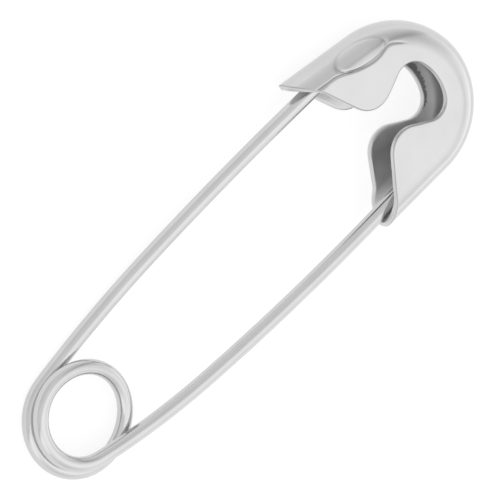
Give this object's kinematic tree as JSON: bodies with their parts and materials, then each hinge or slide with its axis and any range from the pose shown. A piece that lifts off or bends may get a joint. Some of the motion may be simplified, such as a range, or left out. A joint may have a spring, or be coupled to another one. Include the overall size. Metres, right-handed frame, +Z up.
{
  "type": "safety pin",
  "caption": "Large steel safety pin with a coiled spring, a round wire pin arm and a hollow folded-sheet clasp head with a notched throat.",
  "frame": {"origin": "middle of the bottom of the whole pin's box, on the surface that it lies on", "axes": "+X from the coil toward the clasp head, +Y from the pin arm toward the fixed arm, +Z up"},
  "size_m": [0.0768, 0.0242, 0.0065],
  "materials": {
    "head_steel": "polished nickel plate, slightly soft from pressing",
    "wire_steel": "polished nickel-plated spring wire"
  },
  "bodies": {
    "frame": {"clasp_head": "head_steel", "fixed_arm": "wire_steel", "spring_coil": "wire_steel"},
    "pin": {"pin_arm": "wire_steel"}
  },
  "joints": [
    {"name": "pin_press", "type": "hinge", "parent": "frame", "child": "pin", "pos_m": [-0.03075, -0.00094, 0.00329], "axis": [0, 0, 1], "range_deg": [0, 9.5], "stiffness_Nm_per_rad": 1.5, "springref_deg": -1.15}
  ]
}
